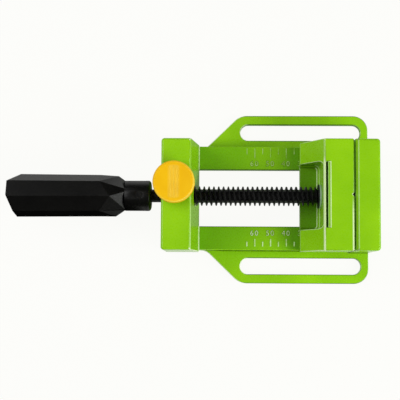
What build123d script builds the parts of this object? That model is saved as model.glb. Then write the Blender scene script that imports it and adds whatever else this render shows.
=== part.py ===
from build123d import *
import math
import os

# Drill press vise with a quick-release screw, in millimetres.
# The origin is on the underside of the base, midway between the two table slots.
# X runs along the screw from the handle towards the fixed jaw, Z is up.

# Table slots and the two side flanges of the base casting
SLOT_PITCH = 86.0
SLOT_LENGTH = 77.2
SLOT_WIDTH = 10.3
FLANGE_RIM = 5.8
FLANGE_THICKNESS = 5.0
FLANGE_END_X = 43.3
FLANGE_CORNER_R = 9.3
FLANGE_SLANT_DEG = 44.2
FLANGE_SLANT_OUT = 1.1
FLANGE_BLEND_R = 8.0

# Rails, with a recess under each for the keeper plate
RAIL_OUTER_Y = 33.0
RAIL_INNER_Y = 18.0
RAIL_TOP_Z = 12.6
RAIL_WALL = 3.5
LEDGE_Z = 7.0

# Rear block and fixed jaw
BLOCK_HALF_Y = 34.05
BLOCK_TOP_Z = 45.8
BLOCK_REAR_X = -87.3
BLOCK_FRONT_TOP_X = -69.3
BLOCK_FRONT_FOOT_X = -65.0
FIXED_JAW_X = 30.6
FIXED_JAW_THICKNESS = 15.0
FIXED_JAW_BEVEL = 1.8
CAST_WALL = 3.0
CORE_TOP_Z = 42.0
JAW_CORES = 3
EDGE_R = 1.4
CORNER_R = 2.0

# Screw line
SCREW_Z = 27.7
THREAD_R = 6.0
BLOCK_BORE_R = 6.2
THREAD_START_X = -86.0
SHOULDER_X = 9.1
JOURNAL_R = 4.0
JOURNAL_END_X = 18.0
RUNNING_GAP = 0.05
SHANK_END_X = -142.0

# Moving jaw, closed, with its pocket behind the front wall
JAW_FACE_X = 30.0
JAW_TOP_REAR_X = 11.9
JAW_REAR_X = -1.2
JAW_WING_Z = 21.5
SLIDE_GAP = 0.15
# Relief of the foot over the rails' raised scale
FOOT_RELIEF_Y = (19.2, 32.2)
FOOT_RELIEF = 0.35
POCKET_HALF_Y = 20.6
POCKET_FLOOR_Z = 15.6
POCKET_WALL_X = 11.2
POCKET_CORNER_R = 3.0
POCKET_FLOOR_BEVEL = 1.5
GROOVE_WIDTH = 3.0
CROSS_GROOVE_WIDTH = 5.0
CROSS_GROOVE_Z = 36.0

# Tongue of the moving jaw between the rails, and its keeper plate below them
TONGUE_HALF_Y = 17.75
TONGUE_X = (0.5, 28.0)
KEEPER_X = (2.5, 27.5)
KEEPER_HALF_Y = 24.5
KEEPER_Z = (3.8, 6.8)
KEEPER_SCREW_X = (7.5, 21.5)

# Retaining plate that drops into a slit of the moving jaw and straddles the journal's groove
SLIT_X = (12.6, 14.0)
SLIT_HALF_Y = 20.0
SLIT_FLOOR_Z = 16.0
SLIT_BEVEL_X = 15.6
SLIT_BEVEL_Z = 44.6
PLATE_THICKNESS = 1.2
PLATE_TOP_Z = 41.0
JOURNAL_GROOVE_R = 2.8

# Thrust washer
THRUST_R = 7.5
THRUST_THICKNESS = 2.0

# Handle: a tapered octagon with a round neck
HANDLE_VERTEX_DEG = 39.5
HANDLE_END_X = -183.0
HANDLE_END_R = 13.4
HANDLE_SHOULDER_X = -117.6
HANDLE_SHOULDER_R = 12.9
# Every second edge of the octagon ends early. Each of the others ends at its own x and radius,
# in a wide flat triangle: the top one first, then the one towards plus Y, and so on round.
HANDLE_EARLY_X = -125.9
HANDLE_APEX = ((-119.2, 12.9), (-114.4, 12.2), (-116.5, 12.8), (-116.3, 13.0))
HANDLE_TRIANGLE_DEG = (16.5, -60.5)
NECK_X = (-110.3, -96.9)
NECK_R = 9.4
NECK_TIP_X = -94.2
NECK_TIP_R = 6.4
NECK_EDGE = 1.0
# Each trim plane of the free end: where it starts along a side, that side's y, and its y at the end
HANDLE_TRIM = ((-175.8, 13.2, 8.3), (-178.2, -13.2, -0.6))
HANDLE_PIN_X = -101.1
HANDLE_PIN_R = 2.25

# Release button on its plunger, beside the screw
PLUNGER_X = -79.2
PLUNGER_Y = 6.3
PLUNGER_R = 6.0
PLUNGER_Z = (17.0, 36.0)
STEM_R = 4.5
STEM_TOP_Z = 55.0
PRESS_TRAVEL = 3.5
NOTCH_RELIEF = 0.3
BUTTON_R = 12.6
BUTTON_Z = (49.9, 58.2)
BUTTON_EDGE_R = 1.2
BUTTON_DISH = 0.5
BUTTON_FLAT_R = 8.4
BUTTON_SKIRT = 2.2
BUTTON_HOLLOW = 3.0

# Plunger spring and the cover that holds it in from below
SPRING_R = 4.6
SPRING_WIRE_R = 0.5
SPRING_TURNS = 4.5
SPRING_CHORDS = 12
COVER_Z = (3.0, 4.6)
COVER_HALF_X = 6.2
COVER_HALF_Y = 16.2
COVER_GAP = 0.15
COVER_SCREW_Y = 12.0

# Fasteners: shank radius, head radius, head height, washer radius, washer thickness, length
COVER_SCREW = (1.5, 2.7, 1.9, 2.8, 0.6, 9.0)
KEEPER_SCREW = (2.0, 3.9, 2.4, 3.8, 0.9, 11.0)
THREAD_FIT = 0.02

# How near an edge or corner lies to the place that it is looked up by
NEAR = 0.01


def bar(x, y, z):
    """A block between the low and high values of x, y and z."""
    size = (x[1] - x[0], y[1] - y[0], z[1] - z[0])
    centre = ((x[0] + x[1]) / 2, (y[0] + y[1]) / 2, (z[0] + z[1]) / 2)
    return Pos(*centre) * Box(*size)


def rod(radius, x):
    """A round bar on the screw's axis between two values of x."""
    return Pos(x[0], 0, SCREW_Z) * Rot(0, 90, 0) * Cylinder(
        radius, x[1] - x[0], align=(Align.CENTER, Align.CENTER, Align.MIN)
    )


def post(radius, x, y, z):
    """An upright round bar between two heights."""
    return Pos(x, y, z[0]) * Cylinder(
        radius, z[1] - z[0], align=(Align.CENTER, Align.CENTER, Align.MIN)
    )


def side_profile(points, half_y):
    """A profile drawn in X and Z, carried across the vise to both sides."""
    face = make_face(Polyline(*[(x, 0, z) for x, z in points], close=True))
    return extrude(face, amount=half_y, dir=(0, 1, 0), both=True)


def upright_edges(solid, x, y):
    """The upright edges at x, at plus and minus y."""
    edges = solid.edges().filter_by(Axis.Z)
    near_x = [e for e in edges if abs(e.center().X - x) < NEAR]
    return [e for e in near_x if abs(abs(e.center().Y) - y) < NEAR]


def flange_outline():
    """The plan of the casting's foot: square right corners, slanted left ones."""
    slot_end_x = (SLOT_LENGTH - SLOT_WIDTH) / 2
    round_r = SLOT_WIDTH / 2 + FLANGE_RIM
    edge_y = SLOT_PITCH / 2 + round_r
    slant = math.radians(FLANGE_SLANT_DEG)
    corner_x = -slot_end_x - round_r * math.tan(slant / 2) - FLANGE_SLANT_OUT
    foot_x = corner_x - (edge_y - RAIL_OUTER_Y) / math.tan(slant)
    half = [(FLANGE_END_X, edge_y), (corner_x, edge_y), (foot_x, RAIL_OUTER_Y),
            (BLOCK_REAR_X + CAST_WALL, RAIL_OUTER_Y)]
    points = half + [(x, -y) for x, y in reversed(half)]
    face = make_face(Polyline(*points, close=True))
    corners = face.vertices()
    face = fillet([v for v in corners if v.X > 0], FLANGE_CORNER_R)
    face = fillet([v for v in face.vertices() if abs(v.X - corner_x) < NEAR], round_r)
    foot = [v for v in face.vertices() if abs(v.X - foot_x) < NEAR]
    face = fillet([v for v in foot if v.Y < 0], FLANGE_BLEND_R)
    return face


def rear_block():
    """The block that guides the screw, with a front that slopes out to the rails."""
    block = side_profile(
        [(BLOCK_REAR_X, 0), (BLOCK_REAR_X, BLOCK_TOP_Z), (BLOCK_FRONT_TOP_X, BLOCK_TOP_Z),
         (BLOCK_FRONT_FOOT_X, RAIL_TOP_Z), (BLOCK_FRONT_FOOT_X, 0)],
        BLOCK_HALF_Y,
    )
    block = fillet(upright_edges(block, BLOCK_REAR_X, BLOCK_HALF_Y), CORNER_R)
    top = block.faces().sort_by(Axis.Z)[-1]
    return fillet(top.edges(), EDGE_R)


def fixed_jaw():
    """The fixed jaw of the casting, bevelled along the top of its clamping face."""
    outer_x = FIXED_JAW_X + FIXED_JAW_THICKNESS
    jaw = bar((FIXED_JAW_X, outer_x), (-BLOCK_HALF_Y, BLOCK_HALF_Y), (0, BLOCK_TOP_Z))
    jaw = fillet(upright_edges(jaw, outer_x, BLOCK_HALF_Y), CORNER_R)
    top = jaw.faces().sort_by(Axis.Z)[-1]
    face_edge = top.edges().sort_by(Axis.X)[0]
    jaw = chamfer(face_edge, FIXED_JAW_BEVEL)
    top = jaw.faces().filter_by(Axis.Z).sort_by(Axis.Z)[-1]
    rim = [e for e in top.edges() if e.center().X > FIXED_JAW_X + 2 * FIXED_JAW_BEVEL]
    return fillet(rim, EDGE_R)


def make_base_casting():
    """One die casting: flanges, rails, rear block and fixed jaw, cored from below."""
    base = extrude(flange_outline(), amount=FLANGE_THICKNESS)
    for side in (-1, 1):
        inner, outer = sorted((side * RAIL_INNER_Y, side * RAIL_OUTER_Y))
        base += bar((BLOCK_FRONT_TOP_X, FIXED_JAW_X + CAST_WALL), (inner, outer), (0, RAIL_TOP_Z))
    rail_tops = [
        e for e in base.edges().filter_by(Axis.X)
        if abs(e.center().Z - RAIL_TOP_Z) < NEAR and abs(abs(e.center().Y) - RAIL_OUTER_Y) < NEAR
    ]
    base = fillet(rail_tops, EDGE_R / 2)
    base += rear_block()
    base += fixed_jaw()
    gap_x = (BLOCK_FRONT_FOOT_X, FIXED_JAW_X)
    base -= bar(gap_x, (-RAIL_INNER_Y, RAIL_INNER_Y), (-1, RAIL_TOP_Z + 1))
    recess_y = RAIL_OUTER_Y - RAIL_WALL
    base -= bar(gap_x, (-recess_y, recess_y), (-1, LEDGE_Z))
    for side in (-1, 1):
        slot = SlotOverall(SLOT_LENGTH, SLOT_WIDTH)
        base -= Pos(0, side * SLOT_PITCH / 2, -1) * extrude(slot, amount=FLANGE_THICKNESS + 2)

    # Cores that keep the walls of the casting even, open at the underside, with ribs between
    core_y = BLOCK_HALF_Y - CAST_WALL
    block_core_x = (BLOCK_REAR_X + CAST_WALL, BLOCK_FRONT_TOP_X - CAST_WALL)
    cover_y = COVER_HALF_Y + CAST_WALL
    cores = [
        bar(block_core_x, (PLUNGER_Y + cover_y, core_y), (-1, CORE_TOP_Z)),
        bar(block_core_x, (-core_y, PLUNGER_Y - cover_y), (-1, CORE_TOP_Z)),
    ]
    jaw_core_x = (FIXED_JAW_X + CAST_WALL, FIXED_JAW_X + FIXED_JAW_THICKNESS - CAST_WALL)
    core_pitch = (2 * core_y + CAST_WALL) / JAW_CORES
    for i in range(JAW_CORES):
        low_y = i * core_pitch - core_y
        cores.append(bar(jaw_core_x, (low_y, low_y + core_pitch - CAST_WALL), (-1, CORE_TOP_Z)))
    for core in cores:
        base -= chamfer(core.edges().filter_by(Axis.Z), CAST_WALL / 3)

    # Screw bore, plunger bore, and the recess for the spring cover
    base -= rod(BLOCK_BORE_R, (BLOCK_REAR_X - 1, BLOCK_FRONT_FOOT_X + 1))
    base -= post(PLUNGER_R + RUNNING_GAP, PLUNGER_X, PLUNGER_Y, (-1, PLUNGER_Z[1] + 0.2))
    base -= post(STEM_R + RUNNING_GAP, PLUNGER_X, PLUNGER_Y, (PLUNGER_Z[1], BLOCK_TOP_Z + 1))
    base -= cover_outline(COVER_GAP, (-1, COVER_Z[1]))
    shank_r, _, _, _, _, length = COVER_SCREW
    for side in (-1, 1):
        y = PLUNGER_Y + side * COVER_SCREW_Y
        base -= post(shank_r + THREAD_FIT, PLUNGER_X, y, (0, COVER_Z[0] + length + 1))
    return base


def cover_outline(gap, z):
    """The spring cover's plan with rounded ends, grown by a gap."""
    plan = SlotOverall(2 * (COVER_HALF_Y + gap), 2 * (COVER_HALF_X + gap), rotation=90)
    return Pos(PLUNGER_X, PLUNGER_Y, z[0]) * extrude(plan, amount=z[1] - z[0])


def v_groove(width, length):
    """A right-angled groove to cut from the jaw face, running along Z."""
    face = make_face(Polyline((-width / 2, 0), (0, 0), (0, width / 2), close=True))
    prism = extrude(face, amount=length / 2, both=True)
    mirrored = mirror(prism, about=Plane.XZ)
    return prism + mirrored


def make_moving_jaw():
    """The sliding jaw: a front wall with two raked wings round a pocket for the screw's end."""
    foot_z = RAIL_TOP_Z + SLIDE_GAP
    jaw = side_profile(
        [(JAW_REAR_X, foot_z), (JAW_REAR_X, JAW_WING_Z), (JAW_TOP_REAR_X, BLOCK_TOP_Z),
         (JAW_FACE_X, BLOCK_TOP_Z), (JAW_FACE_X, foot_z)],
        BLOCK_HALF_Y,
    )
    jaw = fillet(upright_edges(jaw, JAW_FACE_X, BLOCK_HALF_Y), EDGE_R)
    top = jaw.faces().sort_by(Axis.Z)[-1]
    jaw = fillet(top.edges(), EDGE_R * 0.7)
    pocket = bar((JAW_REAR_X - 9, POCKET_WALL_X), (-POCKET_HALF_Y, POCKET_HALF_Y),
                 (POCKET_FLOOR_Z, BLOCK_TOP_Z + 1))
    inner = [e for e in pocket.edges().filter_by(Axis.Z) if e.center().X > 0]
    pocket = fillet(inner, POCKET_CORNER_R)
    floor = pocket.faces().sort_by(Axis.Z)[0]
    jaw -= chamfer(floor.edges().sort_by(Axis.X)[1:], POCKET_FLOOR_BEVEL)
    for side in (1, -1):
        low_y, high_y = sorted(side * y for y in FOOT_RELIEF_Y)
        jaw -= bar((JAW_REAR_X - 1, JAW_FACE_X + 1), (low_y, high_y), (foot_z - 1, foot_z + FOOT_RELIEF))
    jaw += bar(TONGUE_X, (-TONGUE_HALF_Y, TONGUE_HALF_Y), (KEEPER_Z[1], POCKET_FLOOR_Z))

    # Slit for the retaining plate, bevelled on the side of the top face
    jaw -= bar(SLIT_X, (-SLIT_HALF_Y, SLIT_HALF_Y), (SLIT_FLOOR_Z, BLOCK_TOP_Z + 1))
    jaw -= side_profile(
        [(SLIT_X[1], SLIT_BEVEL_Z), (SLIT_X[1], BLOCK_TOP_Z + 1), (SLIT_BEVEL_X, BLOCK_TOP_Z + 1),
         (SLIT_BEVEL_X, BLOCK_TOP_Z)],
        SLIT_HALF_Y,
    )

    # Upright and level grooves in the clamping face for round work
    jaw_height = BLOCK_TOP_Z - foot_z
    upright = Pos(JAW_FACE_X, 0, foot_z + jaw_height / 2) * v_groove(GROOVE_WIDTH, jaw_height + 4)
    level = Pos(JAW_FACE_X, 0, CROSS_GROOVE_Z) * Rot(90, 0, 0) * v_groove(
        CROSS_GROOVE_WIDTH, 2 * BLOCK_HALF_Y + 4)
    jaw -= upright
    jaw -= level

    # Journal bore and the two tapped holes of the keeper
    jaw -= rod(JOURNAL_R + RUNNING_GAP, (POCKET_WALL_X - 2, JOURNAL_END_X + 0.4))
    shank_r, _, _, _, washer_t, length = KEEPER_SCREW
    tip_z = KEEPER_Z[0] - washer_t + length
    for x in KEEPER_SCREW_X:
        jaw -= post(shank_r + THREAD_FIT, x, 0, (KEEPER_Z[1] - 1, tip_z + 0.5))
    return jaw


def make_keeper_plate():
    """Steel plate under the rails that holds the moving jaw down."""
    plate = bar(KEEPER_X, (-KEEPER_HALF_Y, KEEPER_HALF_Y), KEEPER_Z)
    plate = fillet(plate.edges().filter_by(Axis.Z), CORNER_R)
    for x in KEEPER_SCREW_X:
        plate -= post(KEEPER_SCREW[0] + 0.2, x, 0, (KEEPER_Z[0] - 1, KEEPER_Z[1] + 1))
    return plate


def make_screw(kind, x, y, seat_z):
    """Slotted cheese head screw driven upwards into a seat, its washer between head and seat."""
    shank_r, head_r, head_h, _, washer_t, length = kind
    head_top = seat_z - washer_t
    screw = post(head_r, x, y, (head_top - head_h, head_top))
    screw += post(shank_r, x, y, (head_top, head_top + length))
    slot_width = head_r * 0.28
    slot_depth = head_h * 0.5
    low_z = head_top - head_h
    screw -= bar((x - head_r - 1, x + head_r + 1), (y - slot_width / 2, y + slot_width / 2),
                 (low_z - 1, low_z + slot_depth))
    return screw


def make_washer(kind, x, y, seat_z):
    """Plain washer under a screw's head."""
    shank_r, _, _, washer_r, washer_t, _ = kind
    z = (seat_z - washer_t, seat_z)
    return post(washer_r, x, y, z) - post(shank_r + 0.1, x, y, (z[0] - 1, z[1] + 1))


def make_retaining_plate():
    """Forked steel plate that keeps the journal in the moving jaw."""
    middle_x = (SLIT_X[0] + SLIT_X[1]) / 2
    x = (middle_x - PLATE_THICKNESS / 2, middle_x + PLATE_THICKNESS / 2)
    half_y = SLIT_HALF_Y - 0.2
    plate = bar(x, (-half_y, half_y), (SLIT_FLOOR_Z + 0.1, PLATE_TOP_Z))
    fork_r = JOURNAL_GROOVE_R + RUNNING_GAP
    plate -= rod(fork_r, (x[0] - 1, x[1] + 1))
    plate -= bar((x[0] - 1, x[1] + 1), (-fork_r, fork_r), (SLIT_FLOOR_Z - 1, SCREW_Z))
    return plate


def make_spindle():
    """Screw spindle: thread envelope, handle shank and grooved journal."""
    thread = rod(THREAD_R, (THREAD_START_X, SHOULDER_X))
    thread = chamfer(thread.edges().filter_by(GeomType.CIRCLE), 1.0)
    spindle = thread + rod(JOURNAL_R, (SHANK_END_X, THREAD_START_X))
    spindle += rod(JOURNAL_R, (SHOULDER_X, JOURNAL_END_X))
    groove_x = (SLIT_X[0] - 0.1, SLIT_X[1] + 0.1)
    spindle -= rod(JOURNAL_R + 1, groove_x) - rod(JOURNAL_GROOVE_R, groove_x)
    spindle -= post(HANDLE_PIN_R, HANDLE_PIN_X, 0, (SCREW_Z - 9, SCREW_Z + 9))
    return spindle


def make_thrust_washer():
    """Hardened washer between the thread's shoulder and the moving jaw."""
    x = (SHOULDER_X, SHOULDER_X + THRUST_THICKNESS)
    return rod(THRUST_R, x) - rod(JOURNAL_R, (x[0] - 1, x[1] + 1))


def around_screw(x, radius, degrees):
    """A point at a distance from the screw's axis, turned from straight up towards plus Y."""
    angle = math.radians(degrees)
    return (x, radius * math.sin(angle), SCREW_Z + radius * math.cos(angle))


def octagon(x, radius):
    """An octagon square to the screw's axis, with the handle's own turn."""
    points = [around_screw(x, radius, HANDLE_VERTEX_DEG + 45 * i) for i in range(8)]
    return make_face(Polyline(*points, close=True))


def handle_transition():
    """Flat triangles from the octagon to eight points on the neck, six in each quarter turn."""
    triangles, rear, front = [], [], []
    early_r = HANDLE_SHOULDER_R + (HANDLE_END_R - HANDLE_SHOULDER_R) * (
        (HANDLE_EARLY_X - HANDLE_SHOULDER_X) / (HANDLE_END_X - HANDLE_SHOULDER_X))
    ahead, behind = HANDLE_TRIANGLE_DEG
    for quarter, (apex_x, apex_r) in enumerate(HANDLE_APEX):
        degrees = HANDLE_VERTEX_DEG - 45 + 90 * quarter
        apex = around_screw(apex_x, apex_r, degrees)
        below_apex, after, before = (
            around_screw(HANDLE_EARLY_X, early_r, degrees + turn) for turn in (0, 45, -45))
        neck_after, neck_before, neck_next = (
            around_screw(NECK_X[0], NECK_R, degrees + turn) for turn in (ahead, behind, ahead - 90))
        triangles += [
            (after, below_apex, apex), (before, below_apex, apex), (apex, neck_after, neck_before),
            (apex, neck_after, after), (apex, neck_before, before), (before, neck_before, neck_next),
        ]
        rear += [below_apex, after]
        front += [neck_before, neck_after]
    outlines = triangles + [rear, front]
    return Solid(Shell([make_face(Polyline(*points, close=True)) for points in outlines]))


def make_handle():
    """Moulded handle: eight flats that taper to a shoulder and run into a round neck."""
    shoulder = octagon(HANDLE_SHOULDER_X, HANDLE_SHOULDER_R)
    grip = loft([octagon(HANDLE_END_X, HANDLE_END_R), shoulder])
    grip -= bar((HANDLE_EARLY_X, HANDLE_SHOULDER_X + 1), (-20, 20), (0, 60))
    neck = revolve(
        Plane.XZ * make_face(
            Polyline(
                (NECK_X[0], SCREW_Z), (NECK_X[0], SCREW_Z + NECK_R), (NECK_X[1], SCREW_Z + NECK_R),
                (NECK_TIP_X - NECK_EDGE, SCREW_Z + NECK_TIP_R + NECK_EDGE),
                (NECK_TIP_X, SCREW_Z + NECK_TIP_R), (NECK_TIP_X, SCREW_Z),
                close=True,
            )
        ),
        axis=Axis((0, 0, SCREW_Z), (1, 0, 0)),
    )
    handle = grip + handle_transition() + neck

    # The free end is trimmed by two upright planes, one from each side
    for start_x, side_y, end_y in HANDLE_TRIM:
        outside = side_y * 3
        run = (start_x - HANDLE_END_X) / (side_y - end_y)
        reach_x = start_x + run * (outside - side_y)
        corner = [(HANDLE_END_X - 5, end_y - 5 / run), (reach_x, outside), (HANDLE_END_X - 5, outside)]
        wedge = make_face(Polyline(*corner, close=True))
        handle -= extrude(wedge, amount=SCREW_Z * 3)
    handle -= rod(JOURNAL_R, (SHANK_END_X, NECK_TIP_X + 1))
    handle -= post(HANDLE_PIN_R, HANDLE_PIN_X, 0, (SCREW_Z - 12, SCREW_Z + 12))
    return handle


def make_handle_pin():
    """Cross pin through the handle's neck and the spindle's shank."""
    half = NECK_R - 0.15
    return post(HANDLE_PIN_R, HANDLE_PIN_X, 0, (SCREW_Z - half, SCREW_Z + half))


def make_release_plunger():
    """Turned plunger with a side notch that carries the half nut against the screw."""
    body = post(PLUNGER_R, PLUNGER_X, PLUNGER_Y, PLUNGER_Z)
    body += post(STEM_R, PLUNGER_X, PLUNGER_Y, (PLUNGER_Z[1], STEM_TOP_Z))
    seat_r = THREAD_R + RUNNING_GAP
    x = (PLUNGER_X - PLUNGER_R - 1, PLUNGER_X + PLUNGER_R + 1)
    relief_r = THREAD_R + NOTCH_RELIEF
    relief = Pos(0, 0, PRESS_TRAVEL + NOTCH_RELIEF) * rod(relief_r, x)
    relief_top = SCREW_Z + PRESS_TRAVEL + NOTCH_RELIEF
    relief += bar(x, (-relief_r, relief_r), (SCREW_Z, relief_top))
    relief += bar(x, (-2 * relief_r, 0), (SCREW_Z, relief_top + relief_r))
    return body - rod(seat_r, x) - relief


def make_release_button():
    """Moulded button, hollow below and shallowly dished on top, pressed on the plunger's stem."""
    low, top = BUTTON_Z
    hub_r = STEM_R + BUTTON_SKIRT
    skirt_r = BUTTON_R - BUTTON_SKIRT
    rim_r = BUTTON_R - BUTTON_EDGE_R
    profile = [
        (STEM_R, low), (hub_r, low), (hub_r, low + BUTTON_HOLLOW), (skirt_r, low + BUTTON_HOLLOW),
        (skirt_r, low), (BUTTON_R, low), (BUTTON_R, top - BUTTON_EDGE_R), (rim_r, top),
        (rim_r - BUTTON_EDGE_R, top), (BUTTON_FLAT_R, top - BUTTON_DISH), (0, top - BUTTON_DISH),
        (0, STEM_TOP_Z), (STEM_R, STEM_TOP_Z),
    ]
    face = make_face(Polyline(*[(r, 0, z) for r, z in profile], close=True))
    return Pos(PLUNGER_X, PLUNGER_Y, 0) * revolve(face, axis=Axis.Z)


def make_plunger_spring():
    """Compression spring under the plunger, wound in short straight chords."""
    low = COVER_Z[1] + SPRING_WIRE_R + 0.02
    height = PLUNGER_Z[0] - SPRING_WIRE_R - 0.02 - low
    chords = round(SPRING_TURNS * SPRING_CHORDS)
    points = []
    for i in range(chords + 1):
        angle = 2 * math.pi * i / SPRING_CHORDS
        points.append((SPRING_R * math.cos(angle), SPRING_R * math.sin(angle), height * i / chords))
    path = Polyline(*points)
    section = Plane(origin=path @ 0, z_dir=path % 0) * RegularPolygon(SPRING_WIRE_R, 6)
    spring = sweep(section, path=path, transition=Transition.RIGHT)
    return Pos(PLUNGER_X, PLUNGER_Y, low) * spring


def make_spring_cover():
    """Steel cover over the plunger bore, let into the underside of the rear block."""
    cover = cover_outline(0, COVER_Z)
    for side in (-1, 1):
        y = PLUNGER_Y + side * COVER_SCREW_Y
        cover -= post(COVER_SCREW[0] + 0.2, PLUNGER_X, y, (COVER_Z[0] - 1, COVER_Z[1] + 1))
    return cover


def make_parts():
    """Every piece of the vise by its name."""
    pieces = {
        "base_casting": make_base_casting(),
        "moving_jaw": make_moving_jaw(),
        "keeper_plate": make_keeper_plate(),
        "retaining_plate": make_retaining_plate(),
        "spindle": make_spindle(),
        "thrust_washer": make_thrust_washer(),
        "handle": make_handle(),
        "handle_pin": make_handle_pin(),
        "release_plunger": make_release_plunger(),
        "release_button": make_release_button(),
        "plunger_spring": make_plunger_spring(),
        "spring_cover": make_spring_cover(),
    }
    for name, x in zip(("rear", "front"), KEEPER_SCREW_X):
        pieces[f"keeper_screw_{name}"] = make_screw(KEEPER_SCREW, x, 0, KEEPER_Z[0])
        pieces[f"keeper_washer_{name}"] = make_washer(KEEPER_SCREW, x, 0, KEEPER_Z[0])
    for name, side in zip(("right", "left"), (-1, 1)):
        y = PLUNGER_Y + side * COVER_SCREW_Y
        pieces[f"cover_screw_{name}"] = make_screw(COVER_SCREW, PLUNGER_X, y, COVER_Z[0])
        pieces[f"cover_washer_{name}"] = make_washer(COVER_SCREW, PLUNGER_X, y, COVER_Z[0])
    return pieces


os.makedirs("parts", exist_ok=True)
for name, piece in make_parts().items():
    export_step(piece, f"parts/{name}.step")
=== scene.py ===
import math

import bmesh
import bpy
import numpy as np
from mathutils import Matrix, Vector


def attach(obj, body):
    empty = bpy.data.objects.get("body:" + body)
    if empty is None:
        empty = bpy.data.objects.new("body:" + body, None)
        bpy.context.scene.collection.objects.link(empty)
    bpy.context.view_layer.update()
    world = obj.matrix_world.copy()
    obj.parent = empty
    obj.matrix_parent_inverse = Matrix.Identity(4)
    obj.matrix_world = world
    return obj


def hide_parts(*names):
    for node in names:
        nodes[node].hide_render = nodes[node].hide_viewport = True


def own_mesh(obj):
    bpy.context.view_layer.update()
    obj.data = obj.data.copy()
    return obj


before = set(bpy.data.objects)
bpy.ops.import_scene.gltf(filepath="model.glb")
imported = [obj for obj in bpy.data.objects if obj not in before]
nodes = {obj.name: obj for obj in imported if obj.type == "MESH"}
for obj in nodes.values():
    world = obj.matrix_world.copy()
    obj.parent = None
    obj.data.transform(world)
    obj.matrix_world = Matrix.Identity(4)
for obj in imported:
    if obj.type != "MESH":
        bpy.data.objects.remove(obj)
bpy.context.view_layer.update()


# Studio
# A white table seen from almost straight above, as in the picture, under a pale even sky,
# with one soft lamp high at the handle's end and a stronger one at the fixed jaw's end.

CAMERA_PLACE = (-0.050602, -0.054450, 0.692875)
CAMERA_TILT_X = 0.078
CAMERA_TILT_Y = -0.020
CAMERA_ROLL = 0.004
CAMERA_SENSOR_MM = 36.0
CAMERA_LENS_MM = 96.55
LAMP_SIZE = 0.6
LAMPS = {
    "left_lamp": ((-0.68, 0.15, 0.70), 3.9),
    "right_lamp": ((0.72, -0.34, 0.60), 7.2),
}
SKY_WHITE = (1.0, 1.0, 1.0, 1.0)
SKY_LIGHT = 0.30
SKY_IN_GLOSS = 0.02
WHITE = (1.0, 1.0, 0.975, 1.0)
FLOOR_HALF = 3.0
FLOOR_Z = -0.0002
FLOOR_GREY = (0.70, 0.70, 0.69, 1.0)
FLOOR_WHITE_SHARE = 0.94
# Where the mirrored table turns from dark to bright, along X and along Y.
FLOOR_LIT_X = (-0.104, -0.088)
FLOOR_LIT_Y = (-0.030, 0.010)
HANDLE_SIDE_LIGHT = 0.72
# Where the dimness under the vise ends: in front of it, behind it and beside the handle.
UNDER_VISE_LIGHT = 0.22
UNDER_FRONT_Y = (-0.026, -0.034)
UNDER_BACK_Y = (0.055, 0.075)
UNDER_HANDLE_Y = (0.026, 0.034)
HANDLE_SIDE_X = (-0.093, -0.087)


def camera_frame():
    """Camera axes: looking down, tipped about X and Y, then rolled about the line of sight."""
    forward = Vector((
        math.sin(CAMERA_TILT_Y),
        math.sin(CAMERA_TILT_X) * math.cos(CAMERA_TILT_Y),
        -math.cos(CAMERA_TILT_X) * math.cos(CAMERA_TILT_Y),
    )).normalized()
    level = Vector((1, 0, 0))
    right = (level - forward * level.dot(forward)).normalized()
    up = right.cross(forward)
    cosine = math.cos(CAMERA_ROLL)
    sine = math.sin(CAMERA_ROLL)
    right, up = cosine * right + sine * up, cosine * up - sine * right
    matrix = Matrix((right, up, -forward)).transposed().to_4x4()
    matrix.translation = CAMERA_PLACE
    return matrix


def soft_lamp(name, place, watts):
    """A square lamp that faces the origin."""
    data = bpy.data.lights.new(name, "AREA")
    data.shape = "SQUARE"
    data.size = LAMP_SIZE
    data.energy = watts
    lamp = bpy.data.objects.new(name, data)
    lamp.location = place
    lamp.rotation_euler = (-Vector(place)).to_track_quat("-Z", "Y").to_euler()
    bpy.context.collection.objects.link(lamp)


def math_node(tree, operation, *values):
    """One operation on sockets, on numbers, or on both."""
    node = tree.nodes.new("ShaderNodeMath")
    node.operation = operation
    for socket, value in zip(node.inputs, values):
        if isinstance(value, float):
            socket.default_value = value
        else:
            tree.links.new(value, socket)
    return node.outputs[0]


def remap(tree, value, low, high, to_low, to_high):
    """A value stretched from one range to another, and held at its ends."""
    node = tree.nodes.new("ShaderNodeMapRange")
    node.inputs["From Min"].default_value = low
    node.inputs["From Max"].default_value = high
    node.inputs["To Min"].default_value = to_low
    node.inputs["To Max"].default_value = to_high
    tree.links.new(value, node.inputs["Value"])
    return node.outputs["Result"]


def split_axes(tree, vector):
    """The X, Y and Z of a vector."""
    node = tree.nodes.new("ShaderNodeSeparateXYZ")
    tree.links.new(vector, node.inputs[0])
    return node.outputs


def coloured_shader(tree, kind, colour):
    """A shader node of one colour."""
    node = tree.nodes.new(kind)
    node.inputs["Color"].default_value = colour
    return node


def mix_shaders(tree, share, first, second):
    """Two shaders mixed, with the share of the second."""
    mix = tree.nodes.new("ShaderNodeMixShader")
    for socket, value in zip(mix.inputs, (share, first, second)):
        tree.links.new(value, socket)
    return mix.outputs[0]


def seen_share(tree, path):
    """One for what the camera sees, straight or through a clear thing, and nought otherwise."""
    return math_node(tree, "MAXIMUM", path.outputs["Is Camera Ray"], path.outputs["Is Transmission Ray"])


camera_data = bpy.data.cameras.new("camera")
camera_data.sensor_width = CAMERA_SENSOR_MM
camera_data.lens = CAMERA_LENS_MM
camera = bpy.data.objects.new("camera", camera_data)
camera.matrix_world = camera_frame()
bpy.context.collection.objects.link(camera)
bpy.context.scene.camera = camera
bpy.context.scene.view_settings.view_transform = "Standard"

for name, (place, watts) in LAMPS.items():
    soft_lamp(name, place, watts)

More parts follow.
